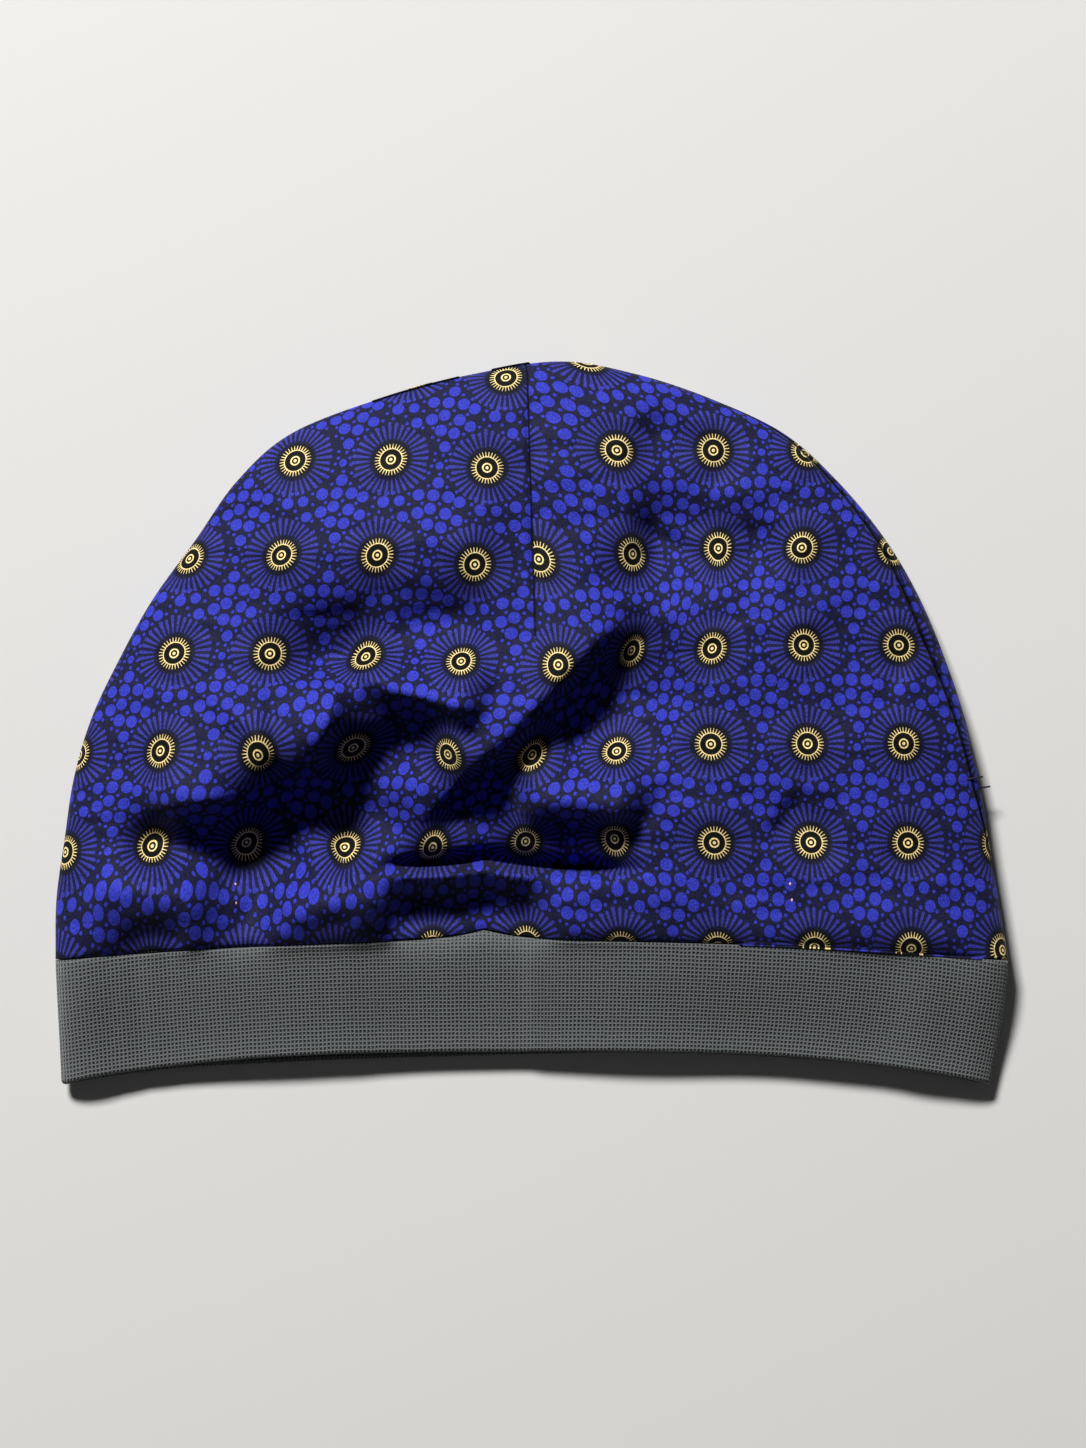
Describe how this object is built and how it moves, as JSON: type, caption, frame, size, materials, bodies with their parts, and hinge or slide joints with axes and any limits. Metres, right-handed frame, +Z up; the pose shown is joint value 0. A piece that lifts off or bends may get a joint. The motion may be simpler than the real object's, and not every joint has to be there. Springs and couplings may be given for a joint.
{
  "type": "soft skullcap with knitted band",
  "caption": "Soft close-fitting skullcap laid flat: a printed two-panel cloth crown, puffed and folded, sewn to a folded knitted band round an open mouth.",
  "frame": {"origin": "middle of the laid cap's plan, on the surface that it rests on", "axes": "+X across the band to the wearer's side, +Y from the mouth to the top of the crown, +Z up from the resting surface through the front of the cap"},
  "size_m": [0.2667, 0.2027, 0.0387],
  "materials": {
    "printed_cloth": "dark blue printed sateen",
    "grey_knit": "grey waffle-rib knit"
  },
  "bodies": {
    "root": {"crown_front_panel": "printed_cloth", "crown_back_panel": "printed_cloth", "band": "grey_knit"}
  },
  "joints": []
}
